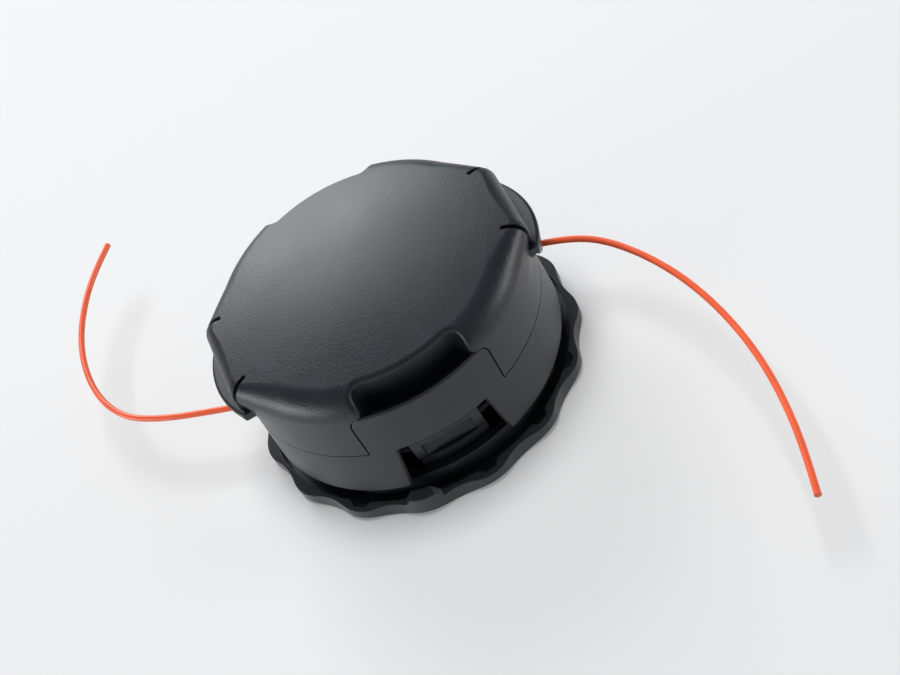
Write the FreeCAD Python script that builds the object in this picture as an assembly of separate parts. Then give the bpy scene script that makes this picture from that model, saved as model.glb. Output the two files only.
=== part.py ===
"""Bump feed trimmer head: a drum and domed cap on a sprung slider over a keyed line spool.

The head stands on its drive plate with the cap up. +Z is the spin axis, the line leaves along X,
and the finger scoops and latch windows face -Y and +Y. All sizes are in millimetres.
"""
import FreeCAD, Part
import math
import os

V = FreeCAD.Vector
UP = V(0, 0, 1)
ORIGIN = V(0, 0, 0)

# Shell: drum wall below the seam, cap above it
drum_r = 57.5             # outer radius of the drum at its lower edge
wall_draft = 0.6          # drum radius lost between its lower edge and the seam
drum_edge = 1.6           # rounding of the drum's lower edge
shell_wall = 2.6          # wall of drum and cap
skirt_drop = 31.9         # crown of the cap to the lower edge of its skirt
seam_gap = 0.35           # open width of the seam between cap and drum
sleeve_gap = 0.2          # drum sleeve inside the cap's skirt
sleeve_wall = 2.4
sleeve_drop = 18.0        # crown of the cap to the top of the drum's sleeve
sleeve_run = 4.0          # height over which the drum wall steps in to its sleeve

# Crown of the cap
crown_slope = math.radians(8.5)   # fall of the dome where the shoulder begins
crown_room = 16.5         # spool to the crown of the cap
shoulder_r = 10.0
boss_gap = 1.0            # cap's boss around the post's ribs
boss_wall = 3.8

# Drive plate
plate_t = 2.4
rim_top = 6.5
rim_fall = 1.3            # drop of the rim's top face from its inner to its outer edge
rim_gap = 0.9             # drum wall inside the rim when the head is bumped
rim_w = 1.6               # rim at its hollows
rim_foot_w = 1.0          # flat of the rim's foot inside its bevel
rim_foot_h = 1.6
lobe_h = 2.4              # lobes past the hollows
lobe_count = 15
lobe_share = 0.5          # part of each pitch taken by the raised lobe
lobe_phase = -18.0        # first lobe, in degrees from the front towards +X
rim_notch_w = 8.0         # notch in the rim's inner face behind a lobe
rim_notch_d = 2.0
rim_notch_reach = 60.0    # notched lobes, in degrees from the front and the back
mark_rise = 3.6           # raised mark on the first lobe
mark_w = 7.0
mark_slope = 4.0          # run of the mark's sloping ends
bump_travel = 4.0

# Catch ring on the plate, with a toothed lip for the latch hooks
ring_clear = 0.9          # catch ring inside the drum wall
ring_wall = 1.7
lip_reach = 1.7
lip_t = 2.4
index_count = 12
tooth_side_gap = 1.4      # hook tooth in the lip's notch

# Boss, splined post and threaded insert
boss_r = 16.0
boss_rise = 2.0           # spool's seat above the catch ring
post_r = 8.0
post_rise = 3.0           # post above the spool
rib_h = 1.2
rib_w = 3.0
rib_count = 4
insert_flats = 17.0
insert_z = 0.4
insert_roof = 1.0         # boss above the insert
thread_r = 4.33           # minor radius of an M10 x 1.25 left-hand thread
shaft_gap = 0.87          # relief around the thread for the end of the drive shaft
shaft_room = 4.0          # relief above the insert

# Spool and its line
spool_h = 34.5
press_room = 3.9          # spool flange behind the latch fingers
flange_t = 2.4
core_wall = 2.9
core_gap = 1.0            # spool's core around the slider's flange
web_t = 6.0               # floor of the spool's core, keyed on the post
divider_w = 9.5           # divider past the core
divider_t = 2.0
key_gap = 0.06            # sliding fit of the spool and the slider on the post
rib_gap = 0.3             # sliders beside the post's ribs
line_r = 1.2
winding_t = 4.8
lead_gap = 0.3            # line beside the winding that it leaves
turns_per_layer = 6
lug_in = 30.0             # index lugs of spool and cap
lug_len = 9.0
lug_w = 4.0
lug_lap = 0.2             # height of a lug that stays out of mesh in a bump
lug_clear = 0.6           # cap lugs above the spool lugs at rest

# Retaining ring, spring and slider
snap_t = 1.2
snap_gap = 0.6            # retaining ring inside the seat washer
snap_depth = 0.8          # groove in the post
snap_open = 5.0
seat_lap = 0.4            # seat washer inside the spring's inner edge
seat_gap = 0.4            # seat washer in the spool's core
seat_t = 1.0
spring_wire_r = 0.9
spring_gap = 1.1          # spring around the slider's sleeve
spring_turns = 6
spring_sides = 16         # flats that stand for the round wire
spring_end_gap = 0.1      # spring below the slider's flange
cup_wall = 1.4
cup_room = 1.8            # slider above the retaining ring in a bump
cup_lap = 0.8             # slider's flange past the spring
cup_flange_t = 2.0
cup_rise = 2.7            # slider above the spool
thrust_t = 1.0
thrust_lap = 0.6          # thrust washer past the cap's boss

# Drum tabs and finger scoops, front and back
tab_side = 5.9            # tab past the scoop on either side
tab_drop = 13.0           # crown of the cap to the tab
tab_round = 4.5
tab_t = 2.6               # tab beside the scoop
tab_crest = 0.9           # flat of the tab's upper edge
tab_fall = 2.6            # slope behind the tab's upper edge
tab_lip_round = 0.7
scoop_half = 20.4
scoop_in = 8.2            # back wall of the scoop inside the skirt
scoop_depth = 7.5         # floor of the scoop below the tab's upper edge
scoop_wall = 2.4
scoop_corner = 3.2        # rounding of the scoop's inner corners in plan
scoop_lip = 1.8           # rounding of the scoop's upper edge
scoop_bowl = 1.6          # rounding at the foot of the scoop's wall
scoop_floor = 1.5         # thickness of the scoop's floor

# Latch windows and fingers
window_drop = 0.7         # top of the window below the seam
window_side = 3.6         # window beside the finger at its top
window_flare = 2.5        # window's side spread towards its foot
window_chamfer = 1.1
finger_half = 13.1
finger_wall = 2.4
finger_root = 3.7         # thickness of the finger's root
finger_belly = 3.0        # hollow of the finger's back under the root
hook_gap = 0.3            # finger and hook inside the catch ring
hook_rise_gap = 0.4       # hook under the lip, and over the plate in a bump
hook_t = 1.4
hook_tooth_w = 5.2
hook_tooth_h = 1.2
thumb_side = 3.4          # finger beside the thumb pocket
thumb_drop = 2.1          # thumb pocket below the window's top
thumb_h = 10.8
thumb_depth = 5.2         # thumb pocket's flat floor inside the skirt

# Side tabs of the cap, and the slits beside them
side_tab_out = 1.4        # straight outer edge past the skirt
side_tab_round = 7.0
side_tab_face = 3.4       # height of the straight outer face
side_tab_flare = 3.4      # tab's corners past the skirt
side_tab_corner = 6.0     # shoulder rounding at the tab's corners
side_tab_drop = 26.0      # crown of the cap to the tab's foot
side_tab_foot = 3.9       # tab's foot inside the skirt
side_tab_lift = 0.05      # side tab proud of the dome
side_tab_half_deg = 17.7
slit_w = 1.6
slit_depth = 4.4          # slit inside the skirt
slit_drop = 17.0          # crown of the cap to the slit's foot
flare_out = 3.1           # cap past its skirt beside each slit
flare_round = 6.0
flare_steps = 5
flare_drop = 24.0         # crown of the cap to the flare's foot
flare_sink = 0.02         # flare under the dome where the two meet

# Line guides and eyelets
guide_drop = 17.0         # crown of the cap to the guide's top
guide_plan_r = 40.0
guide_out = 6.7           # guide past the skirt
guide_taper = 5.0         # draft of the guide's outer face over its height
guide_under = 3.1         # guide's tip below the line
guide_past = 2.1          # guide past the slits on either side
guide_tip_r = 6.5         # rounding of the guide's lower tip
guide_fit = 0.1
guide_edge = 1.2
guide_flange_t = 1.5
guide_flange_lap = 2.0
line_heading = 26.5       # angle between the line at the eyelet and the radius through the ear
eyelet_drop = 1.6         # eyelet below the seam
eyelet_out = 3.1          # eyelet's mouth past the skirt
eyelet_len = 9.5
eyelet_gap = 0.3          # line in the eyelet
eyelet_wall = 0.7
eyelet_lip = 1.2
eyelet_lip_t = 1.0
lead_rise = 10.0          # line on the upper winding above the eyelet
lead_drop = 7.0           # line on the lower winding below the eyelet

# Radii from the drum inwards and outwards
skirt_r = drum_r - wall_draft
skirt_in = skirt_r - shell_wall
sleeve_r = skirt_in - sleeve_gap
sleeve_in = sleeve_r - sleeve_wall
rim_in = drum_r + rim_gap
rim_foot_r = rim_in + rim_foot_w
valley_r = rim_in + rim_w
lobe_r = valley_r + lobe_h
ring_out = drum_r - shell_wall - ring_clear
ring_in = ring_out - ring_wall
lip_in = ring_in - lip_reach
finger_tip_r = lip_in - hook_gap
hook_r = ring_in - hook_gap
finger_root_r = skirt_r - finger_root
finger_back_r = finger_root_r - finger_belly
thumb_r = skirt_r - thumb_depth
flange_r = finger_tip_r - finger_wall - press_room
scoop_r = skirt_r - scoop_in
tab_in = skirt_r - tab_t
side_tab_x = skirt_r + side_tab_out
side_tab_skirt_r = skirt_r + side_tab_flare
side_tab_foot_x = skirt_r - side_tab_foot
slit_in = skirt_r - slit_depth
guide_plan_x = skirt_r + guide_out - guide_plan_r
far = 2 * drum_r          # reach of cutting shapes past the head

# Radii from the post outwards
shaft_r = thread_r + shaft_gap
rib_r = post_r + rib_h
boss_bore_r = rib_r + boss_gap
cup_sleeve_r = rib_r + rib_gap + cup_wall
spring_r = cup_sleeve_r + spring_gap + spring_wire_r
cup_flange_r = spring_r + spring_wire_r + cup_lap
thrust_out = boss_bore_r + boss_wall + thrust_lap
core_in = cup_flange_r + core_gap
core_r = core_in + core_wall
divider_r = core_r + divider_w
winding_r = core_r + winding_t
seat_in = spring_r - spring_wire_r - seat_lap
seat_out = core_in - seat_gap
snap_out = seat_in - snap_gap
lug_out = lug_in + lug_len
eyelet_bore_r = line_r + eyelet_gap
eyelet_r = eyelet_bore_r + eyelet_wall
eyelet_lip_r = eyelet_r + eyelet_lip
lead_r = winding_r + lead_gap + line_r
eyelet_reach = math.sqrt((skirt_r + eyelet_out) ** 2 - lead_r ** 2)

# Heights from the plate to the spool
drum_low = rim_top + bump_travel
finger_low = plate_t + hook_rise_gap + bump_travel
hook_top = finger_low + hook_t
lip_low = hook_top + hook_rise_gap
ring_top = lip_low + lip_t
finger_neck_z = ring_top + bump_travel
boss_top = ring_top + boss_rise
insert_top = boss_top - insert_roof
shaft_top = insert_top + shaft_room
spool_low = boss_top
spool_top = spool_low + spool_h
web_top = spool_low + web_t
divider_z = spool_low + (spool_h - divider_t) / 2
post_top = spool_top + post_rise
cup_low = web_top + snap_t + bump_travel + cup_room
cup_top = spool_top + cup_rise
spring_low = web_top + seat_t
spring_top = cup_top - cup_flange_t
thrust_top = cup_top + thrust_t
lug_top = spool_top + bump_travel - lug_lap

# Heights from the crown downwards
head_height = spool_top + crown_room
seam_z = head_height - skirt_drop
sleeve_top = head_height - sleeve_drop
tab_top = head_height - tab_drop
side_tab_low = head_height - side_tab_drop
slit_low = head_height - slit_drop
flare_low = head_height - flare_drop
guide_top = head_height - guide_drop
window_top = seam_z - window_drop
thumb_top = window_top - thumb_drop
thumb_low = thumb_top - thumb_h
eyelet_z = seam_z - eyelet_drop
guide_apex_z = eyelet_z - guide_under - guide_tip_r * (math.sqrt(2) - 1)
scoop_z = tab_top - scoop_depth
scoop_low = scoop_z - scoop_floor
mark_top = rim_top + mark_rise

# Dome of the cap, up to its shoulder
shoulder_x = skirt_r - shoulder_r
dome_r = (shoulder_x + shoulder_r * math.sin(crown_slope)) / math.sin(crown_slope)
dome_z = head_height - dome_r

# Half widths at the scoops, windows and guides, and the pitch of the index teeth
tab_half = scoop_half + tab_side
window_half_top = finger_half + window_side
window_half_low = window_half_top + window_flare
thumb_half = finger_half - thumb_side
guide_half = skirt_r * math.sin(math.radians(side_tab_half_deg)) + guide_past
index_pitch = 360.0 / index_count


def rz(radius, height):
    """A point of a turned section."""
    return V(radius, 0, height)


def arc(start, middle, end):
    """A circular edge through three points."""
    return Part.Arc(start, middle, end).toShape()


def line(start, end):
    """A straight edge."""
    return Part.LineSegment(start, end).toShape()


def closed_face(points):
    """A flat face with straight edges."""
    return Part.Face(Part.makePolygon(points + points[:1]))


def turned(points):
    """A solid turned about Z from (radius, height) corners."""
    return closed_face([rz(*p) for p in points]).revolve(ORIGIN, UP, 360)


def turned_edges(edges):
    """A solid turned about Z from the edges of a closed section."""
    return Part.Face(Part.Wire(edges)).revolve(ORIGIN, UP, 360)


def tube(outer, inner, low, top):
    """A plain ring."""
    return turned([(inner, low), (outer, low), (outer, top), (inner, top)])


def disc(radius, low, top):
    """A plain cylinder on the axis."""
    return Part.makeCylinder(radius, top - low, V(0, 0, low))


def box(x0, x1, y0, y1, z0, z1):
    """An axis-parallel block."""
    return Part.makeBox(x1 - x0, y1 - y0, z1 - z0, V(x0, y0, z0))


def spun(shape, degrees):
    """A copy of a shape turned about Z."""
    copy = shape.copy()
    copy.rotate(ORIGIN, UP, degrees)
    return copy


def ring_of(shape, count, start=0.0):
    """Copies of a shape spaced evenly about Z."""
    return [spun(shape, start + 360.0 * k / count) for k in range(count)]


def wedge(half_deg, low, top):
    """A sector about +X."""
    reach = far * math.tan(math.radians(half_deg))
    plan = [V(0, 0, low), V(far, -reach, low), V(far, reach, low)]
    return closed_face(plan).extrude(V(0, 0, top - low))


def dome_point(angle, inset=0.0):
    """A point of the dome's section, inset from its outer face."""
    radius = dome_r - inset
    return rz(radius * math.sin(angle), dome_z + radius * math.cos(angle))


def crown_solid(skirt, rounding, low, inset=0.0):
    """Body under the dome and a tangent shoulder, inset all round and cut level at the bottom."""
    slope = math.asin((skirt - rounding) / (dome_r - rounding))
    centre = rz(skirt - rounding, dome_z + (dome_r - rounding) * math.cos(slope))

    def shoulder_point(angle):
        return centre + rz(math.sin(angle), math.cos(angle)) * (rounding - inset)

    top = dome_point(0, inset)
    edge = dome_point(slope, inset)
    side = shoulder_point(math.pi / 2)
    foot = rz(skirt - inset, low)
    return turned_edges([
        arc(top, dome_point(slope / 2, inset), edge),
        arc(edge, shoulder_point((slope + math.pi / 2) / 2), side),
        line(side, foot),
        line(foot, rz(0, low)),
        line(rz(0, low), top),
    ])


def dome_height(radius):
    """Height of the dome's outer face."""
    return dome_z + math.sqrt(dome_r ** 2 - radius ** 2)


def slab(points, y0, y1):
    """A solid with an XZ outline, carried along Y."""
    return closed_face([V(x, y0, z) for x, z in points]).extrude(V(0, y1 - y0, 0))


def tab_outline(half, top):
    """Front half space inside the drum tab's outline, with rounded upper corners."""
    low = drum_low
    turn = tab_round * (1 - math.sqrt(0.5))
    left = V(-half, 0, top - tab_round)
    left_top = V(-half + tab_round, 0, top)
    right_top = V(half - tab_round, 0, top)
    right = V(half, 0, top - tab_round)
    corners = [V(half, 0, low), V(-half, 0, low)]
    edges = [
        line(corners[1], left),
        arc(left, V(-half + turn, 0, top - turn), left_top),
        line(left_top, right_top),
        arc(right_top, V(half - turn, 0, top - turn), right),
        line(right, corners[0]),
        line(corners[0], corners[1]),
    ]
    return Part.Face(Part.Wire(edges)).extrude(V(0, -far, 0))


def window_outline():
    """Front latch window as a cutting block."""
    return slab(
        [
            (-window_half_top, window_top), (window_half_top, window_top),
            (window_half_low, drum_low), (window_half_low, rim_top),
            (-window_half_low, rim_top), (-window_half_low, drum_low),
        ],
        -far,
        -flange_r,
    )


def both_sides(shape):
    """A front feature and the same feature at the back."""
    return [shape, spun(shape, 180)]


def lobed_prism(low, top):
    """The plate's scalloped outline: raised lobes joined by shallow hollows."""
    pitch = 2 * math.pi / lobe_count
    half_lobe = pitch * lobe_share / 2
    join_r = (lobe_r + valley_r) / 2

    def at(radius, angle):
        return V(radius * math.sin(angle), -radius * math.cos(angle), low)

    edges = []
    for k in range(lobe_count):
        a = math.radians(lobe_phase) + k * pitch
        edges.append(arc(at(join_r, a - half_lobe), at(lobe_r, a), at(join_r, a + half_lobe)))
        edges.append(arc(at(join_r, a + half_lobe), at(valley_r, a + pitch / 2),
                         at(join_r, a + pitch - half_lobe)))
    return Part.Face(Part.Wire(edges)).extrude(V(0, 0, top - low))


def splined(clearance, side_clearance, low, top):
    """The post's section with its ribs, grown by clearances for the pieces that slide on it."""
    half = rib_w / 2 + side_clearance
    shape = disc(post_r + clearance, low, top)
    rib = box(0, rib_r + side_clearance, -half, half, low, top)
    if clearance == 0:
        rib = rib.common(disc(rib_r, low, top))
    return shape.multiFuse(ring_of(rib, rib_count))


def make_drive_plate():
    """Scalloped plate, rim, toothed catch ring, boss and splined post in one moulding."""
    plate = turned([
        (0, 0), (rim_foot_r, 0), (lobe_r, rim_foot_h), (lobe_r, rim_top - rim_fall), (rim_in, rim_top),
        (rim_in, plate_t), (0, plate_t),
    ])
    plate = plate.common(lobed_prism(0, rim_top))
    lobes = [lobe_phase + k * 360.0 / lobe_count for k in range(1, lobe_count)]
    notched = [a for a in lobes if abs(math.remainder(a, 180)) < rim_notch_reach]
    plate = plate.cut(Part.makeCompound([spun(rim_notch(), a) for a in notched]))
    mark = turned([
        (rim_in, plate_t), (lobe_r, plate_t), (lobe_r, mark_top - rim_fall), (rim_in, mark_top),
    ])
    mark = mark.common(lobed_prism(plate_t, mark_top)).common(spun(mark_block(), lobe_phase))
    ring = turned([
        (ring_in, plate_t), (ring_out, plate_t), (ring_out, ring_top), (lip_in, ring_top),
        (lip_in, lip_low), (ring_in, lip_low),
    ])
    notch_half = hook_tooth_w / 2 + tooth_side_gap
    notch_low = lip_low - hook_tooth_h
    notch_top = lip_low + hook_tooth_h
    tooth_gap = box(-notch_half, notch_half, -ring_in, -post_r, notch_low, notch_top)
    ring = ring.cut(Part.makeCompound(ring_of(tooth_gap, index_count)))
    boss = disc(boss_r, plate_t, boss_top)
    post = splined(0, 0, boss_top, post_top)
    groove = tube(snap_out, post_r - snap_depth, web_top, web_top + snap_t)
    plate = plate.multiFuse([mark, ring, boss, post]).cut(groove)
    plate = plate.cut(hex_prism(0, insert_top))
    return plate.cut(disc(shaft_r, 0, shaft_top)).removeSplitter()


def rim_notch():
    """Notch in the rim's inner face at the front, narrower towards its back."""
    half = rim_notch_w / 2
    plan = [(-half, rim_in), (-half, post_r), (half, post_r), (half, rim_in)]
    plan += [(half / 2, rim_in + rim_notch_d), (-half / 2, rim_in + rim_notch_d)]
    return closed_face([V(x, -y, plate_t) for x, y in plan]).extrude(V(0, 0, rim_top))


def mark_block():
    """Front block with the outline of the rim's raised mark."""
    half = mark_w / 2
    foot = half + mark_slope
    outline = [(-foot, plate_t), (foot, plate_t), (foot, rim_top - rim_fall), (half, mark_top)]
    outline += [(-half, mark_top), (-foot, rim_top - rim_fall)]
    return slab(outline, -far, 0)


def hex_prism(low, top):
    """The insert's hexagon."""
    corner = insert_flats / 2 / math.cos(math.pi / 6)
    plan = [V(corner * math.cos(k * math.pi / 3), corner * math.sin(k * math.pi / 3), low) for k in range(6)]
    return closed_face(plan).extrude(V(0, 0, top - low))


def make_arbor_insert():
    """Steel insert with the drive shaft's thread, set in the plate."""
    return hex_prism(insert_z, insert_top).cut(disc(thread_r, insert_z, insert_top))


def make_spool():
    """Two-chamber spool, keyed on the post, with index lugs on its upper flange."""
    body = turned([
        (0, spool_low), (flange_r, spool_low), (flange_r, spool_low + flange_t),
        (core_r, spool_low + flange_t), (core_r, divider_z), (divider_r, divider_z),
        (divider_r, divider_z + divider_t), (core_r, divider_z + divider_t),
        (core_r, spool_top - flange_t), (flange_r, spool_top - flange_t),
        (flange_r, spool_top), (core_in, spool_top), (core_in, web_top), (0, web_top),
    ])
    body = body.cut(splined(key_gap, key_gap, spool_low, web_top))
    lug = box(lug_in, lug_out, -lug_w / 2, lug_w / 2, spool_top, lug_top)
    return body.multiFuse(ring_of(lug, index_count))


def make_winding(low, top):
    """Stored line: one solid whose outside shows the turns of its last layer."""
    turn = (top - low) / turns_per_layer
    groove_r = winding_r - line_r
    edges = [line(rz(core_r, top), rz(core_r, low)), line(rz(core_r, low), rz(groove_r, low))]
    for k in range(turns_per_layer):
        z = low + k * turn
        edges.append(arc(rz(groove_r, z), rz(winding_r, z + turn / 2), rz(groove_r, z + turn)))
    edges.append(line(rz(groove_r, top), rz(core_r, top)))
    return turned_edges(edges)


def make_retaining_ring():
    """Open snap ring in the post's groove, over the spool's web."""
    ring = tube(snap_out, post_r - snap_depth, web_top, web_top + snap_t)
    return ring.cut(box(0, far, -snap_open / 2, snap_open / 2, 0, far))


def make_spring():
    """Feed spring between its seat washer and the slider's flange."""
    height = spring_top - spring_end_gap - spring_low - 2 * spring_wire_r
    helix = Part.makeHelix(height / spring_turns, height, spring_r)
    turns = [2 * math.pi * k / spring_sides for k in range(spring_sides + 1)]
    wire = [rz(spring_r + spring_wire_r * math.cos(a), spring_wire_r * math.sin(a)) for a in turns]
    spring = Part.Wire(helix).makePipeShell([Part.makePolygon(wire)], True, True)
    spring.translate(V(0, 0, spring_low + spring_wire_r))
    return spring


def make_spring_cup():
    """Flanged slider on the post: the spring lifts it, and the cap turns on top of it."""
    cup = tube(cup_sleeve_r, 0, cup_low, cup_top).fuse(disc(cup_flange_r, spring_top, cup_top))
    return cup.cut(splined(key_gap, rib_gap, cup_low, cup_top)).removeSplitter()


def make_drum():
    """Drum wall with its sleeve, the two scoop tabs, the latch windows and the guide slots."""
    step_z = seam_z - seam_gap
    run_z = step_z - shell_wall - sleeve_run
    body = turned([
        (drum_r - shell_wall, drum_low), (drum_r, drum_low), (skirt_r, step_z), (sleeve_r, step_z),
        (sleeve_r, sleeve_top), (sleeve_in, sleeve_top), (sleeve_in, step_z - shell_wall),
        (skirt_r - shell_wall, run_z),
    ])
    body = body.makeFillet(drum_edge, [e for e in body.Edges if on_drum_edge(e)])
    tab_low = step_z - shell_wall
    tab_ring = turned([
        (sleeve_in, tab_low), (skirt_r, tab_low), (skirt_r, tab_top), (skirt_r - tab_crest, tab_top),
        (tab_in, tab_top - tab_fall), (sleeve_in, tab_top - tab_fall),
    ])
    tab = tab_ring.common(tab_outline(tab_half - seam_gap, tab_top))
    lip = [e for e in tab.Edges if e.BoundBox.ZMin > tab_top - 0.01 and e.BoundBox.YMin < -skirt_r + 0.01]
    tab = tab.makeFillet(tab_lip_round, lip)
    body = body.multiFuse(both_sides(tab))
    for side in both_sides(scoop_room()):
        body = body.cut(side)
    for side in both_sides(window_outline()):
        body = body.cut(side)
    body = body.makeChamfer(window_chamfer, [e for e in body.Edges if on_window_side(e)])
    for turn in (0, 180):
        body = body.cut(spun(guide_blank(guide_fit), turn))
        body = body.cut(spun(eyelet_room(), turn))
        body = body.cut(spun(eyelet_path(eyelet_lip_r), turn))
    return body.removeSplitter()


def on_drum_edge(edge):
    """Whether an edge is the drum's lower outer edge."""
    return edge.BoundBox.ZMax < drum_low + 0.01 and edge.BoundBox.XMax > drum_r - 0.01


def scoop_room():
    """Room in the drum for the front scoop, behind the tab."""
    half = scoop_half + scoop_wall + seam_gap
    return disc(tab_in, scoop_low - seam_gap, far).common(box(-half, half, -far, 0, 0, far))


def on_window_side(edge):
    """Whether an edge runs up the outer side of a latch window."""
    middle = edge.CenterOfMass
    beside = window_half_top < abs(middle.x) < window_half_low
    outside = math.hypot(middle.x, middle.y) > skirt_r - shell_wall / 2
    return beside and outside and edge.BoundBox.ZLength > (window_top - drum_low) / 2


def finger_section():
    """Section of a latch finger: root, curved face, neck and outward hook."""
    drop = window_top - finger_neck_z
    fall = skirt_r - finger_tip_r
    face_r = (drop ** 2 + fall ** 2) / (2 * fall)
    half = math.asin(drop / face_r) / 2
    middle = rz(skirt_r - face_r * (1 - math.cos(half)), window_top - face_r * math.sin(half))
    back = finger_tip_r - finger_wall
    corners = [
        rz(finger_tip_r, finger_neck_z), rz(finger_tip_r, hook_top), rz(hook_r, hook_top),
        rz(hook_r, finger_low), rz(back, finger_low), rz(back, finger_neck_z),
        rz(finger_back_r, thumb_top - finger_wall / 2), rz(finger_root_r, window_top),
        rz(skirt_r, window_top),
    ]
    edges = [line(a, b) for a, b in zip(corners, corners[1:])]
    edges.append(arc(corners[-1], middle, corners[0]))
    return turned_edges(edges)


def make_finger():
    """Front latch finger with its thumb pocket, hook and index tooth."""
    finger = finger_section().common(box(-finger_half, finger_half, -far, 0, 0, far))
    finger = finger.cut(box(-thumb_half, thumb_half, -far, -thumb_r, thumb_low, thumb_top))
    tooth = tube(hook_r, finger_tip_r, hook_top, hook_top + hook_tooth_h)
    tooth = tooth.common(box(-hook_tooth_w / 2, hook_tooth_w / 2, -far, 0, 0, far))
    return finger.fuse(tooth).removeSplitter()


def side_tab_block():
    """Straight-edged side tab over the +X line guide, under the dome."""
    x_c = side_tab_x - side_tab_round
    start_x = x_c + side_tab_round * math.sin(crown_slope)
    z_c = dome_height(start_x) - side_tab_round * math.cos(crown_slope) + side_tab_lift
    bend = (crown_slope + math.pi / 2) / 2
    start = rz(start_x, z_c + side_tab_round * math.cos(crown_slope))
    middle = rz(x_c + side_tab_round * math.sin(bend), z_c + side_tab_round * math.cos(bend))
    end = rz(side_tab_x, z_c)
    corners = [
        end, rz(side_tab_x, z_c - side_tab_face), rz(side_tab_foot_x, side_tab_low),
        rz(shoulder_x, side_tab_low), rz(shoulder_x, head_height), rz(start_x, head_height), start,
    ]
    edges = [line(a, b) for a, b in zip(corners, corners[1:])]
    edges.append(arc(start, middle, end))
    block = Part.Face(Part.Wire(edges))
    block.translate(V(0, -far / 2, 0))
    block = block.extrude(V(0, far, 0))
    envelope = crown_solid(side_tab_skirt_r, side_tab_corner, seam_z)
    return block.common(wedge(side_tab_half_deg, seam_z, head_height)).common(envelope)


def flare_section(share):
    """Outer half section of the cap's flare, from beside the slit (0) to its end on the skirt (1)."""
    run = math.acos(skirt_r / (skirt_r + flare_out))
    radius = skirt_r / math.cos(run * (1 - share)) - flare_sink
    rounding = flare_round + (shoulder_r - flare_round) * share
    slope = math.asin((radius - rounding) / (dome_r - rounding))
    centre = rz(radius - rounding, dome_z + (dome_r - rounding) * math.cos(slope) - flare_sink)

    def round_point(angle):
        return centre + rz(math.sin(angle), math.cos(angle)) * rounding

    inner = rz(shoulder_x / 2, dome_height(shoulder_x / 2) - flare_sink)
    middle_x = (shoulder_x / 2 + round_point(slope).x) / 2
    crown = arc(inner, rz(middle_x, dome_height(middle_x) - flare_sink), round_point(slope))
    corners = [round_point(math.pi / 2), rz(skirt_r - flare_sink, flare_low), rz(inner.x, flare_low), inner]
    edges = [line(a, b) for a, b in zip(corners, corners[1:])]
    edges.append(crown)
    edges.append(arc(round_point(slope), round_point((slope + math.pi / 2) / 2), corners[0]))
    return spun(Part.Wire(edges), side_tab_half_deg + math.degrees(run) * share)


def make_flares():
    """Where the cap widens in straight lines towards the slits on either side of the +X tab."""
    sections = [flare_section(k / flare_steps) for k in range(flare_steps + 1)]
    flare = Part.makeLoft(sections, True, True)
    return [flare, flare.mirror(ORIGIN, V(0, 1, 0))]


def scoop_cutter():
    """Hollow of the front finger scoop: upright walls, rounded corners and a rounded foot."""
    reach = math.sqrt((scoop_r + scoop_corner) ** 2 - (scoop_half - scoop_corner) ** 2)
    turn_x = scoop_half - scoop_corner
    lean = turn_x / (scoop_r + scoop_corner)
    tip = V(scoop_r * lean, -scoop_r * math.sqrt(1 - lean ** 2), scoop_z)
    side = V(scoop_half, -reach, scoop_z)
    bend = (V(1, 0, 0) + V(-lean, math.sqrt(1 - lean ** 2), 0)).normalize() * scoop_corner
    corner = V(turn_x, -reach, scoop_z) + bend

    def mirrored(point):
        return V(-point.x, point.y, point.z)

    front = V(scoop_half, -far, scoop_z)
    edges = [
        arc(mirrored(tip), V(0, -scoop_r, scoop_z), tip),
        arc(tip, corner, side),
        line(side, front),
        line(front, mirrored(front)),
        line(mirrored(front), mirrored(side)),
        arc(mirrored(side), mirrored(corner), mirrored(tip)),
    ]
    block = Part.Face(Part.Wire(edges)).extrude(V(0, 0, far))
    foot = [e for e in block.Edges if e.BoundBox.ZMax < scoop_z + 0.01 and e.BoundBox.YMax > -far + 0.01]
    return block.makeFillet(scoop_bowl, foot)


def on_scoop_mouth(edge):
    """Whether an edge is where a scoop's wall meets the cap's outer face."""
    middle = edge.valueAt((edge.FirstParameter + edge.LastParameter) / 2)
    beside = abs(middle.x) < scoop_half + 0.01 and abs(middle.y) > scoop_half
    upright = edge.BoundBox.XLength + edge.BoundBox.YLength < 0.01
    inner = upright and math.hypot(middle.x, middle.y) < skirt_r - scoop_lip
    return beside and not inner and middle.z > scoop_z + scoop_bowl + 0.01


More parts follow.
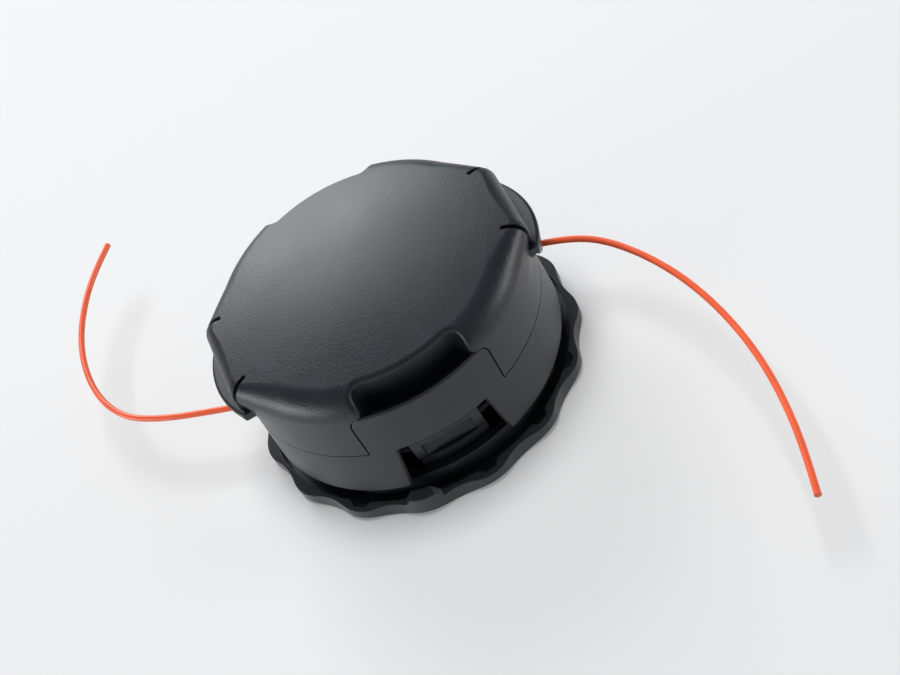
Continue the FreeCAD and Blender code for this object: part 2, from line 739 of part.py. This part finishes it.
def make_bump_cap():
    """Domed cap: skirt, side tabs, finger scoops, slits, index lugs and central boss."""
    outer = crown_solid(skirt_r, shoulder_r, seam_z)
    sides = [side_tab_block()] + make_flares()
    outer = outer.multiFuse([spun(side, turn) for side in sides for turn in (0, 180)]).removeSplitter()
    for side in both_sides(scoop_cutter()):
        outer = outer.cut(side)
    outer = outer.makeFillet(scoop_lip, [e for e in outer.Edges if on_scoop_mouth(e)])
    cavity = crown_solid(skirt_r, shoulder_r, seam_z - shell_wall, shell_wall)
    lining = tube(far, scoop_r - scoop_wall, scoop_low, far)
    lining = lining.common(box(-scoop_half - scoop_wall, scoop_half + scoop_wall, -far, 0, 0, far))
    boss = tube(boss_bore_r + boss_wall, boss_bore_r, thrust_top, head_height)
    lug = box(lug_in, lug_out, -lug_w / 2, lug_w / 2, lug_top + lug_clear, head_height)
    kept = both_sides(lining) + [boss] + ring_of(lug, index_count, index_pitch / 2)
    cap = outer.cut(cavity.cut(Part.makeCompound(kept)))
    tab_room = tab_outline(tab_half, tab_top + seam_gap).cut(disc(tab_in - seam_gap, 0, far))
    for side in both_sides(tab_room):
        cap = cap.cut(side)
    slit = box(slit_in, far, -slit_w / 2, slit_w / 2, slit_low, far)
    for turn in (0, 180):
        for lean in (-side_tab_half_deg, side_tab_half_deg):
            cap = cap.cut(spun(slit, turn + lean))
        cap = cap.cut(spun(guide_blank(guide_fit), turn))
        cap = cap.cut(spun(eyelet_path(eyelet_lip_r), turn))
    return cap.removeSplitter()


def guide_blank(grow):
    """Tongue-shaped ear over +X with its inner flange, grown by a fit clearance."""
    top_r = guide_plan_r + grow
    height = guide_top - guide_apex_z
    cone = Part.makeCone(top_r - guide_taper, top_r, height, V(guide_plan_x, 0, guide_apex_z))
    if grow > 0:
        cone = disc(top_r + guide_plan_x, guide_apex_z - grow, guide_top + grow)
    body = cone.common(tongue(grow, grow)).cut(disc(sleeve_in - grow, 0, far))
    flange = tongue(grow + guide_flange_lap, grow)
    flange = flange.common(tube(sleeve_in + grow, sleeve_in - guide_flange_t, 0, far))
    return body.fuse(flange)


def tongue(grow, rise):
    """The guide's outline seen along X, with two sloping sides and a rounded tip, grown all round."""
    half = guide_half + grow
    low = guide_apex_z - grow * math.sqrt(2)
    wedge = closed_face([V(0, -far, low + far), V(0, 0, low), V(0, far, low + far)]).extrude(V(far, 0, 0))
    wedge = wedge.makeFillet(guide_tip_r, [e for e in wedge.Edges if e.BoundBox.ZMax < low + 0.01])
    return wedge.common(box(0, far, -half, half, low, guide_top + rise))


def eyelet_frame():
    """Tangent point on the winding and the line's direction towards the +X eyelet, in plan."""
    heading = math.radians(-line_heading)
    direction = V(math.cos(heading), math.sin(heading), 0)
    side = V(-direction.y, direction.x, 0)
    return side * lead_r, direction


def along_line(distance):
    """A point of the +X line at eyelet height, by distance from the winding."""
    tangent, direction = eyelet_frame()
    return tangent + direction * distance + V(0, 0, eyelet_z)


def eyelet_path(radius):
    """Clear way in front of the +X eyelet's lip."""
    start = along_line(eyelet_reach - eyelet_lip_t)
    return Part.makeCylinder(radius, far, start, eyelet_frame()[1])


def eyelet_room():
    """Clear way around the +X eyelet's bush."""
    start = along_line(eyelet_reach - eyelet_len - guide_fit)
    return Part.makeCylinder(eyelet_r + guide_fit, far, start, eyelet_frame()[1])


def make_guide():
    """Ear that holds the +X eyelet."""
    guide = guide_blank(0)
    rim = [
        e for e in guide.Edges
        if e.BoundBox.ZMin > guide_top - 0.01 and e.BoundBox.XMax > guide_plan_x + guide_plan_r - 0.1
    ]
    guide = guide.makeFillet(guide_edge, rim)
    bore = Part.makeCylinder(eyelet_r, far, along_line(0), eyelet_frame()[1])
    return guide.cut(bore).cut(eyelet_path(eyelet_lip_r)).removeSplitter()


def make_eyelet():
    """Flared steel bush for the line."""
    direction = eyelet_frame()[1]
    bush = Part.makeCylinder(eyelet_r, eyelet_len, along_line(eyelet_reach - eyelet_len), direction)
    lip = Part.makeCylinder(eyelet_lip_r, eyelet_lip_t, along_line(eyelet_reach - eyelet_lip_t), direction)
    bore = Part.makeCylinder(eyelet_bore_r, far, along_line(0), direction)
    bush = bush.fuse(lip).cut(bore).removeSplitter()
    mouth = [
        e for e in bush.Edges
        if e.CenterOfMass.distanceToPoint(along_line(eyelet_reach)) < 0.01
    ]
    return bush.makeFillet(eyelet_lip_t / 2, mouth)


def cord_tube(points, label):
    """Round line along straight runs joined by the largest even arcs."""
    edges = []
    start = points[0]
    radii = []
    for before, corner, after in zip(points, points[1:], points[2:]):
        back = (before - corner).normalize()
        ahead = (after - corner).normalize()
        run = min(before.distanceToPoint(corner), after.distanceToPoint(corner))
        turn = math.pi - back.getAngle(ahead)
        cut = 0.45 * run
        radius = cut / math.tan(turn / 2)
        radii.append(round(radius, 1))
        bisector = (back + ahead).normalize()
        depth = radius / math.cos(turn / 2) - radius
        enter = corner + back * cut
        leave = corner + ahead * cut
        edges.append(line(start, enter))
        edges.append(arc(enter, corner + bisector * depth, leave))
        start = leave
    edges.append(line(start, points[-1]))
    path = Part.Wire(edges)
    heading = (points[1] - points[0]).normalize()
    section = Part.Wire(Part.Circle(points[0], heading, line_r).toShape())
    solid = path.makePipeShell([section], True, True)
    share = solid.Volume / (math.pi * line_r ** 2 * path.Length)
    print(label, "length", round(path.Length, 1), "bend radii", radii, "volume share", round(share, 4))
    return solid


def make_lead(height, label):
    """Line from the winding to the +X eyelet's mouth."""
    tangent, direction = eyelet_frame()
    inner = along_line(eyelet_reach - eyelet_len - eyelet_lip_r)
    start = tangent + V(0, 0, eyelet_z + height)
    return cord_tube([start, inner, along_line(eyelet_reach)], label)


# Free ends of the line beyond the eyelets, in plan, as they curl in the air
RIGHT_LINE = [
    (68.5, -6.4), (77.8, -14.4), (85.8, -27.3), (92.8, -44.3), (97.4, -62.6), (99.9, -83.2),
    (99.9, -104.2), (97.5, -124.2), (94.0, -141.2), (90.5, -154.4),
]
LEFT_LINE = [
    (-71.8, 8.0), (-87.8, 16.4), (-101.2, 26.6), (-108.4, 41.2), (-110.8, 59.4), (-108.9, 78.0),
    (-102.3, 96.6), (-93.8, 110.8), (-85.8, 120.3),
]


def make_cutting_line(plan, turn, label):
    """Free end of the line from the eyelet's mouth to its cut tip."""
    mouth = along_line(eyelet_reach)
    if turn:
        mouth = V(-mouth.x, -mouth.y, mouth.z)
    return cord_tube([mouth] + [V(x, y, eyelet_z) for x, y in plan], label)


def make_parts():
    """All pieces of the head by name."""
    lower_low = spool_low + flange_t
    upper_low = divider_z + divider_t
    finger = make_finger()
    guide = make_guide()
    eyelet = make_eyelet()
    return {
        "drive_plate": make_drive_plate(),
        "arbor_insert": make_arbor_insert(),
        "spool": make_spool(),
        "lower_line_winding": make_winding(lower_low, divider_z),
        "upper_line_winding": make_winding(upper_low, spool_top - flange_t),
        "spool_retaining_ring": make_retaining_ring(),
        "spring_seat_washer": tube(seat_out, seat_in, web_top, web_top + seat_t),
        "feed_spring": make_spring(),
        "spring_cup": make_spring_cup(),
        "thrust_washer": tube(thrust_out, boss_bore_r, cup_top, thrust_top),
        "drum": make_drum(),
        "bump_cap": make_bump_cap(),
        "front_latch_finger": finger,
        "rear_latch_finger": spun(finger, 180),
        "right_line_guide": guide,
        "left_line_guide": spun(guide, 180),
        "right_eyelet": eyelet,
        "left_eyelet": spun(eyelet, 180),
        "right_line_lead": make_lead(lead_rise, "right lead"),
        "left_line_lead": spun(make_lead(-lead_drop, "left lead"), 180),
        "right_cutting_line": make_cutting_line(RIGHT_LINE, 0, "right line"),
        "left_cutting_line": make_cutting_line(LEFT_LINE, 180, "left line"),
    }


os.makedirs("parts", exist_ok=True)
for name, shape in make_parts().items():
    print(name, len(shape.Solids), "solid", shape.isValid(), round(shape.Volume, 1))
    shape.exportStep("parts/" + name + ".step")
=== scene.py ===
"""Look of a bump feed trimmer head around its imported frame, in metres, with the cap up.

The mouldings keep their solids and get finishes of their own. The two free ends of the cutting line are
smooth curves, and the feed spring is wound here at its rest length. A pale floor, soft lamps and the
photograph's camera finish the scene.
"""

import logging
import math
from dataclasses import dataclass, field
from enum import Enum

import bpy
import numpy as np
from mathutils import Matrix, Vector


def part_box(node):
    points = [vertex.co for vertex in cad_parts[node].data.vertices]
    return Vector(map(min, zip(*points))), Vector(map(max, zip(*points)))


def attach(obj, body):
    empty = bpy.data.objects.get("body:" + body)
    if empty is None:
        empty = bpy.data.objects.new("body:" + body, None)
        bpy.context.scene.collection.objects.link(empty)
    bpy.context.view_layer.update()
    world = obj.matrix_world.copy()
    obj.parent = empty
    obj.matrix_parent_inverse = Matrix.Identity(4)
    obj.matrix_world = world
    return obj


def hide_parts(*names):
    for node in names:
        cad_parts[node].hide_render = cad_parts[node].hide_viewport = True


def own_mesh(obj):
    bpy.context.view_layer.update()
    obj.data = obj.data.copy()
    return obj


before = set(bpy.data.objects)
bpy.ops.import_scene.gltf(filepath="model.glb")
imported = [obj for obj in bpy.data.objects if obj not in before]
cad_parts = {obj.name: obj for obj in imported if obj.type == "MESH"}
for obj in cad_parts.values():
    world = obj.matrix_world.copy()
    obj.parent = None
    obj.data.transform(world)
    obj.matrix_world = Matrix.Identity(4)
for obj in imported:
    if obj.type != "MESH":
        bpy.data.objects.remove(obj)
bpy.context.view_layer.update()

LOG = logging.getLogger("trimmer_head")
MM = 0.001
Colour = tuple[float, float, float]


def linear(colour: Colour) -> tuple[float, float, float, float]:
    """Turns a screen colour into the light it stands for.

    Args:
        colour: Red, green and blue from 0 to 255, as a screen shows them.

    Returns:
        Linear red, green, blue and an alpha of 1.
    """
    share = np.asarray(colour) / 255.0
    low = share / 12.92
    high = ((share + 0.055) / 1.055) ** 2.4
    return (*np.where(share <= 0.04045, low, high).tolist(), 1.0)


class Surface(Enum):
    """How a piece's skin was made."""

    ERODED = "spark-eroded mould"
    POLISHED = "polished mould"
    DRAWN = "drawn or turned metal"
    EXTRUDED = "extruded line"


@dataclass(frozen=True)
class Finish:
    """One finish: its colour, gloss and grain.

    The grain is a noise of the given width, felt as a bump of the given depth. The mottle shifts the
    colour slowly over the piece, and the gloss shift its roughness. Edges look rounded by the rounding.
    """

    name: str
    surface: Surface
    colour: Colour
    roughness: float
    grain_mm: float
    grain_depth: float
    mottle: float
    gloss_shift: float
    rounding_mm: float = 0.0
    specular: float = 0.5
    metallic: float = 0.0


CAP_SKIN = Finish("cap_plastic", Surface.ERODED, (32, 36, 41), 0.39, 0.58, 0.80, 0.18, 0.06, 0.7)
DRUM_SKIN = Finish("drum_plastic", Surface.ERODED, (37, 40, 44), 0.42, 0.58, 0.70, 0.18, 0.06, 0.5)
PLATE_SKIN = Finish("plate_plastic", Surface.ERODED, (36, 39, 42), 0.42, 0.60, 0.80, 0.20, 0.08, 0.7)
# Painted shade: the latch fingers' black plastic is coloured darker than the drum's to stand in for the
# shade inside the drum's windows, where the fingers sit.
LATCH_SKIN_PAINTED_SHADE = Finish("latch_plastic_painted_shade", Surface.ERODED, (27, 30, 33), 0.46, 0.54, 0.60, 0.16, 0.06, 0.6,
                    specular=0.4)
EAR_SKIN = Finish("ear_plastic", Surface.POLISHED, (30, 33, 37), 0.38, 0.60, 0.10, 0.14, 0.06, 0.5)
SPOOL_SKIN = Finish("spool_plastic", Surface.POLISHED, (112, 115, 117), 0.42, 0.60, 0.16, 0.14, 0.08, 0.4)
NYLON = Finish("line_nylon", Surface.EXTRUDED, (240, 99, 60), 0.30, 0.50, 0.10, 0.10, 0.08)
PLATED = Finish("plated_steel", Surface.DRAWN, (172, 174, 178), 0.32, 0.25, 0.12, 0.10, 0.12, metallic=1.0)
SPRING_STEEL = Finish("spring_steel", Surface.DRAWN, (134, 136, 141), 0.36, 0.20, 0.12, 0.14, 0.12,
                      metallic=1.0)


class Nodes:
    """A node tree with short calls for adding and joining its nodes."""

    noise_low = 0.3
    noise_high = 0.7

    def __init__(self, tree: bpy.types.NodeTree) -> None:
        """Keeps the tree."""
        self.tree = tree

    def add(self, kind: str, **values: object) -> bpy.types.Node:
        """Adds one node and sets its properties.

        Args:
            kind: Blender's name of the node type.
            **values: Properties of the node.

        Returns:
            The new node.
        """
        node = self.tree.nodes.new(kind)
        for key, value in values.items():
            setattr(node, key, value)
        return node

    def join(self, source: bpy.types.NodeSocket, target: bpy.types.NodeSocket) -> None:
        """Links an output to an input."""
        self.tree.links.new(source, target)

    def noise(self, place: bpy.types.NodeSocket, scale: float | bpy.types.NodeSocket,
              detail: float) -> bpy.types.NodeSocket:
        """Adds a noise texture.

        Args:
            place: Coordinates that it reads.
            scale: Features in a metre, as a number or as an output that gives it.
            detail: Octaves of finer noise.

        Returns:
            The noise, from 0 to 1.
        """
        node = self.add("ShaderNodeTexNoise")
        node.inputs["Detail"].default_value = detail
        if isinstance(scale, bpy.types.NodeSocket):
            self.join(scale, node.inputs["Scale"])
        else:
            node.inputs["Scale"].default_value = scale
        self.join(place, node.inputs["Vector"])
        return node.outputs["Fac"]

    def span(self, value: bpy.types.NodeSocket, low: float, high: float) -> bpy.types.NodeSocket:
        """Spreads a noise's usual range over another range.

        Args:
            value: The noise.
            low: Result near the bottom of the noise's usual range.
            high: Result near its top.

        Returns:
            The spread value.
        """
        node = self.add("ShaderNodeMapRange")
        node.inputs["From Min"].default_value = self.noise_low
        node.inputs["From Max"].default_value = self.noise_high
        node.inputs["To Min"].default_value = low
        node.inputs["To Max"].default_value = high
        self.join(value, node.inputs["Value"])
        return node.outputs["Result"]


class Effects:
    """Shader node groups that several finishes share."""

    grain_detail = 3.0
    mottle_detail = 4.0
    flow_scale = 22.0
    flow_detail = 2.0
    flow_share = 0.45

    def __init__(self) -> None:
        """Builds each group once."""
        self.skin = self._skin()

    def _skin(self) -> bpy.types.ShaderNodeTree:
        """Builds the moulded skin: fine grain, a slow mottle and flow marks.

        Returns:
            A group with the inputs Grain and Mottle, in features per metre, and the outputs Height,
            Shade and Gloss.
        """
        tree = bpy.data.node_groups.new("moulded_skin", "ShaderNodeTree")
        for name in ("Grain", "Mottle"):
            tree.interface.new_socket(name, in_out="INPUT", socket_type="NodeSocketFloat")
        for name in ("Height", "Shade", "Gloss"):
            tree.interface.new_socket(name, in_out="OUTPUT", socket_type="NodeSocketFloat")
        kit = Nodes(tree)
        inlet = kit.add("NodeGroupInput")
        outlet = kit.add("NodeGroupOutput")
        place = kit.add("ShaderNodeTexCoord").outputs["Object"]
        grain = kit.noise(place, inlet.outputs["Grain"], self.grain_detail)
        mottle = kit.noise(place, inlet.outputs["Mottle"], self.mottle_detail)
        flow = kit.noise(place, self.flow_scale, self.flow_detail)
        mix = kit.add("ShaderNodeMix", data_type="FLOAT")
        mix.inputs[0].default_value = self.flow_share
        kit.join(mottle, mix.inputs[2])
        kit.join(flow, mix.inputs[3])
        kit.join(grain, outlet.inputs["Height"])
        kit.join(mix.outputs[0], outlet.inputs["Shade"])
        kit.join(flow, outlet.inputs["Gloss"])
        return tree


class Paint:
    """Makes materials from finishes."""

    mottle_per_grain = 0.06
    height_per_grain = 0.25
    edge_samples = 6

    def __init__(self) -> None:
        """Builds the shared effects and an empty shelf of materials."""
        self.effects = Effects()
        self.made: dict[str, bpy.types.Material] = {}

    def material(self, finish: Finish) -> bpy.types.Material:
        """Gives the material of a finish, made at its first use.

        Args:
            finish: Colour, gloss and grain.

        Returns:
            The material.
        """
        if finish.name not in self.made:
            self.made[finish.name] = self._make(finish)
        return self.made[finish.name]

    def _make(self, finish: Finish) -> bpy.types.Material:
        """Builds a finish's nodes: skin group, colour, gloss, rounded edges and grain.

        Args:
            finish: Colour, gloss and grain.

        Returns:
            The new material.
        """
        material = bpy.data.materials.new(finish.name)
        material.use_nodes = True
        kit = Nodes(material.node_tree)
        shader = material.node_tree.nodes["Principled BSDF"]
        shader.inputs["Metallic"].default_value = finish.metallic
        shader.inputs["Specular IOR Level"].default_value = finish.specular
        skin = kit.add("ShaderNodeGroup", node_tree=self.effects.skin)
        grain = finish.grain_mm * MM
        skin.inputs["Grain"].default_value = 1.0 / grain
        skin.inputs["Mottle"].default_value = self.mottle_per_grain / grain
        colour = kit.add("ShaderNodeMix", data_type="RGBA")
        base = np.asarray(linear(finish.colour)[:3])
        colour.inputs[6].default_value = (*np.clip(base * (1.0 - finish.mottle), 0.0, 1.0).tolist(), 1.0)
        colour.inputs[7].default_value = (*np.clip(base * (1.0 + finish.mottle), 0.0, 1.0).tolist(), 1.0)
        kit.join(kit.span(skin.outputs["Shade"], 0.0, 1.0), colour.inputs[0])
        kit.join(colour.outputs[2], shader.inputs["Base Color"])
        low = finish.roughness - finish.gloss_shift
        high = finish.roughness + finish.gloss_shift
        kit.join(kit.span(skin.outputs["Gloss"], low, high), shader.inputs["Roughness"])
        bump = kit.add("ShaderNodeBump")
        bump.inputs["Strength"].default_value = finish.grain_depth
        bump.inputs["Distance"].default_value = grain * self.height_per_grain
        kit.join(skin.outputs["Height"], bump.inputs["Height"])
        if finish.rounding_mm > 0.0:
            edge = kit.add("ShaderNodeBevel", samples=self.edge_samples)
            edge.inputs["Radius"].default_value = finish.rounding_mm * MM
            kit.join(edge.outputs["Normal"], bump.inputs["Normal"])
        kit.join(bump.outputs["Normal"], shader.inputs["Normal"])
        return material

    def dress(self, node: str, finish: Finish) -> None:
        """Gives a carried-over solid its finish.

        Args:
            node: Name of the solid.
            finish: What it is dressed in.
        """
        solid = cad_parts[node]
        solid.data.materials.clear()
        solid.data.materials.append(self.material(finish))
        LOG.info("%s dressed in %s, %s", node, finish.name, finish.surface.value)


@dataclass
class KeptSolids:
    """The mouldings, steel pieces and hidden line that keep their solids."""

    paint: Paint
    finishes: dict[str, Finish] = field(default_factory=lambda: {
        "bump_cap": CAP_SKIN,
        "drum": DRUM_SKIN,
        "drive_plate": PLATE_SKIN,
        # Both latch fingers get the darker colour that paints the shade inside the drum's windows.
        "front_latch_finger": LATCH_SKIN_PAINTED_SHADE,
        "rear_latch_finger": LATCH_SKIN_PAINTED_SHADE,
        "left_line_guide": EAR_SKIN,
        "right_line_guide": EAR_SKIN,
        "spool": SPOOL_SKIN,
        "spring_cup": SPOOL_SKIN,
        "thrust_washer": SPOOL_SKIN,
        "arbor_insert": PLATED,
        "left_eyelet": PLATED,
        "right_eyelet": PLATED,
        "spool_retaining_ring": SPRING_STEEL,
        "spring_seat_washer": PLATED,
        "left_line_lead": NYLON,
        "right_line_lead": NYLON,
        "lower_line_winding": NYLON,
        "upper_line_winding": NYLON,
    })

    def build(self) -> None:
        """Dresses each solid."""
        for node, finish in self.finishes.items():
            self.paint.dress(node, finish)


@dataclass
class FeedSpring:
    """The return spring between its seat and the slider, which shortens when the cap is bumped; here it is
    built at its rest length.
    """

    paint: Paint
    wire_r: float = 0.9 * MM
    turns: int = 6
    steps: int = 40
    sides: int = 16
    travel: float = 4.0 * MM

    def build(self) -> None:
        """Winds round wire in the solid's place, from its seat up to the slider."""
        low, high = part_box("feed_spring")
        length = high[2] - low[2]
        rings = self.turns * self.steps + 1
        share = np.linspace(0.0, 1.0, rings)[:, None]
        turn = share * self.turns * math.tau
        section = np.arange(self.sides)[None, :] * math.tau / self.sides
        reach = high[0] - self.wire_r + self.wire_r * np.cos(section)
        middle = low[2] + self.wire_r + share * (length - 2 * self.wire_r)
        rise = middle + self.wire_r * np.sin(section)
        points = np.stack([np.cos(turn) * reach, np.sin(turn) * reach, rise], axis=-1).reshape(-1, 3)
        side = np.arange(self.sides)[None, :]
        after = (side + 1) % self.sides
        ring = np.arange(rings - 1)[:, None] * self.sides
        following = ring + self.sides
        faces = np.stack([ring + side, following + side, following + after, ring + after], axis=-1)
        last = (rings - 1) * self.sides
        ends = [list(range(self.sides)), list(range(last + self.sides - 1, last - 1, -1))]
        mesh = bpy.data.meshes.new("wound_spring")
        mesh.from_pydata(points.tolist(), [], faces.reshape(-1, 4).tolist() + ends)
        smooth = np.ones(len(mesh.polygons), dtype=bool)
        smooth[-len(ends):] = False
        mesh.polygons.foreach_set("use_smooth", smooth)
        mesh.materials.append(self.paint.material(SPRING_STEEL))
        spring = bpy.data.objects.new("wound_spring", mesh)
        bpy.context.scene.collection.objects.link(spring)
        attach(spring, "hub")
        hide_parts("feed_spring")
        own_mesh(spring)
        LOG.info("feed spring of %d turns", self.turns)


@dataclass
class CuttingLine:
    """The two free ends of the line.

    Each is one smooth curve through the air from its eyelet to a cut tip, as stiff nylon stands.
    """

    paint: Paint
    diameter: float = 2.4 * MM
    height: float = 30.5 * MM
    mouth: tuple[float, float] = (59.960, -2.184)
    right: tuple[tuple[float, float], ...] = (
        (68.5, -6.4), (77.8, -14.4), (85.8, -27.3), (92.8, -44.3), (97.4, -62.6), (99.9, -83.2),
        (99.9, -104.2), (97.5, -124.2), (94.0, -141.2), (90.5, -154.4),
    )
    left: tuple[tuple[float, float], ...] = (
        (-71.8, 8.0), (-87.8, 16.4), (-101.2, 26.6), (-108.4, 41.2), (-110.8, 59.4), (-108.9, 78.0),
        (-102.3, 96.6), (-93.8, 110.8), (-85.8, 120.3),
    )
    lengths: dict[str, float] = field(default_factory=lambda: {"right": 0.1669, "left": 0.1495})
    section_steps: int = 8
    route_steps: int = 16

    def build(self) -> None:
        """Makes both free ends, the left one from the eyelet half a turn on."""
        left_mouth = (-self.mouth[0], -self.mouth[1])
        self._free_end("right", (self.mouth, *self.right))
        self._free_end("left", (left_mouth, *self.left))

    def _free_end(self, side: str, plan: tuple[tuple[float, float], ...]) -> None:
        """Makes one free end as an open spline with a round section.

        Args:
            side: "right" or "left".
            plan: Route in millimetres, seen from above, from the eyelet to the tip.
        """
        curve = bpy.data.curves.new(f"{side}_line", "CURVE")
        curve.dimensions = "3D"
        curve.bevel_depth = self.diameter / 2
        curve.bevel_resolution = self.section_steps
        curve.resolution_u = self.route_steps
        curve.use_fill_caps = True
        spline = curve.splines.new("NURBS")
        spline.points.add(len(plan) - 1)
        route = np.empty((len(plan), 4))
        route[:, :2] = np.asarray(plan) * MM
        route[:, 2] = self.height
        route[:, 3] = 1.0
        spline.points.foreach_set("co", route.ravel())
        spline.order_u = 3
        spline.use_endpoint_u = True
        line = bpy.data.objects.new(f"{side}_line", curve)
        bpy.context.scene.collection.objects.link(line)
        curve.materials.append(self.paint.material(NYLON))
        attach(line, "drum_and_cap")
        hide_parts(f"{side}_cutting_line")
        LOG.info("%s free end of %d points", side, len(plan))


@dataclass(frozen=True)
class Lamp:
    """One soft area lamp, in metres and watts. Glossy skins show it where it is mirrored."""

    name: str
    place: tuple[float, float, float]
    target: tuple[float, float, float]
    width: float
    height: float
    power: float
    tint: Colour = (1.0, 1.0, 1.0)
    mirrored: bool = True


@dataclass
class Studio:
    """Pale floor, soft lamps, plain world and the photograph's camera."""

    azimuth: float = math.radians(2.285)
    elevation: float = math.radians(45.363)
    roll: float = math.radians(31.663)
    focal_px: float = 1986.526
    distance: float = 0.7
    centre_px: tuple[float, float] = (385.777, 317.334)
    frame_px: tuple[int, int] = (900, 675)
    centre: tuple[float, float, float] = (0.0, 0.0, 0.035)
    sensor_mm: float = 36.0
    nearest: float = 0.01
    floor_reach: float = 3.0
    floor_colour: Colour = (234, 234, 234)
    backdrop_colour: Colour = (238, 238, 238)
    floor_glow: float = 0.2
    floor_mirrored: float = 0.7
    room_light: float = 0.14
    room_tint: Colour = (0.86, 0.93, 1.0)
    lamps: tuple[Lamp, ...] = (
        Lamp("back_lamp", (-0.24, 2.52, 1.26), (0.0, 0.0, 0.05), 1.4, 1.4, 41.0, (0.95, 0.975, 1.0)),
        Lamp("left_lamp", (-2.00, -0.15, 0.22), (0.0, 0.0, 0.03), 1.4, 0.4, 19.0),
        Lamp("right_lamp", (1.90, -0.20, 0.30), (0.0, 0.0, 0.04), 0.8, 0.5, 9.5, (0.94, 0.96, 1.0)),
        Lamp("key_lamp", (0.05, 0.30, 2.15), (0.0, 0.0, 0.03), 1.0, 1.0, 33.0, mirrored=False),
    )

    def build(self) -> None:
        """Sets up the camera, the floor, the lamps and the world."""
        bpy.context.scene.view_settings.view_transform = "Standard"
        self._camera()
        self._floor()
        for lamp in self.lamps:
            self._lamp(lamp)
        self._world()

    def _camera(self) -> None:
        """Places the camera by turning about the head, rolling and sliding the view to the photograph's."""
        az, el = self.azimuth, self.elevation
        back = Vector((math.sin(az) * math.cos(el), -math.cos(az) * math.cos(el), math.sin(el)))
        level = Vector((math.cos(az), math.sin(az), 0.0))
        above = back.cross(level)
        right = level * math.cos(self.roll) - above * math.sin(self.roll)
        up = level * math.sin(self.roll) + above * math.cos(self.roll)
        metres = self.distance / self.focal_px
        across = (self.centre_px[0] - self.frame_px[0] / 2) * metres
        upward = -(self.centre_px[1] - self.frame_px[1] / 2) * metres
        eye = Vector(self.centre) + back * self.distance - right * across - up * upward
        camera = bpy.data.objects.new("camera", bpy.data.cameras.new("camera"))
        camera.data.lens = self.focal_px * self.sensor_mm / self.frame_px[0]
        camera.data.sensor_width = self.sensor_mm
        camera.data.clip_start = self.nearest
        axes = Matrix((right, up, back)).transposed().to_4x4()
        camera.matrix_world = Matrix.Translation(eye) @ axes
        bpy.context.scene.collection.objects.link(camera)
        bpy.context.scene.camera = camera

    def _floor(self) -> None:
        """Lays a pale floor that shows its own colour to the camera and keeps the head's shadow."""
        reach = self.floor_reach
        mesh = bpy.data.meshes.new("floor")
        mesh.from_pydata([(-reach, -reach, 0), (reach, -reach, 0), (reach, reach, 0), (-reach, reach, 0)],
                         [], [(0, 1, 2, 3)])
        floor = bpy.data.objects.new("floor", mesh)
        bpy.context.scene.collection.objects.link(floor)
        material = bpy.data.materials.new("floor")
        material.use_nodes = True
        kit = Nodes(material.node_tree)
        material.node_tree.nodes.clear()
        outlet = kit.add("ShaderNodeOutputMaterial")
        matt = kit.add("ShaderNodeBsdfDiffuse")
        matt.inputs["Color"].default_value = linear(self.floor_colour)
        glow = kit.add("ShaderNodeEmission")
        glow.inputs["Color"].default_value = linear(self.backdrop_colour)
        mix = kit.add("ShaderNodeMixShader")
        seen = kit.add("ShaderNodeLightPath")
        share = kit.add("ShaderNodeMath", operation="MULTIPLY_ADD")
        share.inputs[1].default_value = self.floor_glow
        kit.join(seen.outputs["Is Camera Ray"], share.inputs[0])
        mirrored = kit.add("ShaderNodeMath", operation="MULTIPLY")
        mirrored.inputs[1].default_value = self.floor_mirrored
        kit.join(seen.outputs["Is Glossy Ray"], mirrored.inputs[0])
        kit.join(mirrored.outputs[0], share.inputs[2])
        kit.join(share.outputs[0], mix.inputs[0])
        kit.join(matt.outputs[0], mix.inputs[1])
        kit.join(glow.outputs[0], mix.inputs[2])
        kit.join(mix.outputs[0], outlet.inputs["Surface"])
        mesh.materials.append(material)

    def _lamp(self, lamp: Lamp) -> None:
        """Hangs one area lamp that faces its target.

        Args:
            lamp: Its place, size and power.
        """
        data = bpy.data.lights.new(lamp.name, "AREA")
        data.shape = "RECTANGLE"
        data.size = lamp.width
        data.size_y = lamp.height
        data.energy = lamp.power
        data.color = lamp.tint
        holder = bpy.data.objects.new(lamp.name, data)
        holder.visible_glossy = lamp.mirrored
        aim = Vector(lamp.target) - Vector(lamp.place)
        turn = aim.to_track_quat("-Z", "Y").to_matrix().to_4x4()
        holder.matrix_world = Matrix.Translation(lamp.place) @ turn
        bpy.context.scene.collection.objects.link(holder)

    def _world(self) -> None:
        """Fills the room with even, dim light, behind a pale backdrop that only the camera sees."""
        world = bpy.data.worlds.new("room")
        world.use_nodes = True
        kit = Nodes(world.node_tree)
        world.node_tree.nodes.clear()
        outlet = kit.add("ShaderNodeOutputWorld")
        room = kit.add("ShaderNodeBackground")
        room.inputs["Color"].default_value = (*self.room_tint, 1.0)
        room.inputs["Strength"].default_value = self.room_light
        backdrop = kit.add("ShaderNodeBackground")
        backdrop.inputs["Color"].default_value = linear(self.backdrop_colour)
        mix = kit.add("ShaderNodeMixShader")
        kit.join(kit.add("ShaderNodeLightPath").outputs["Is Camera Ray"], mix.inputs[0])
        kit.join(room.outputs[0], mix.inputs[1])
        kit.join(backdrop.outputs[0], mix.inputs[2])
        kit.join(mix.outputs[0], outlet.inputs["Surface"])
        bpy.context.scene.world = world


def main() -> None:
    """Builds the head's look piece by piece, then the studio."""
    logging.basicConfig(level=logging.INFO, format="%(message)s")
    paint = Paint()
    CuttingLine(paint).build()
    KeptSolids(paint).build()
    FeedSpring(paint).build()
    Studio().build()


if __name__ == "__main__":
    main()
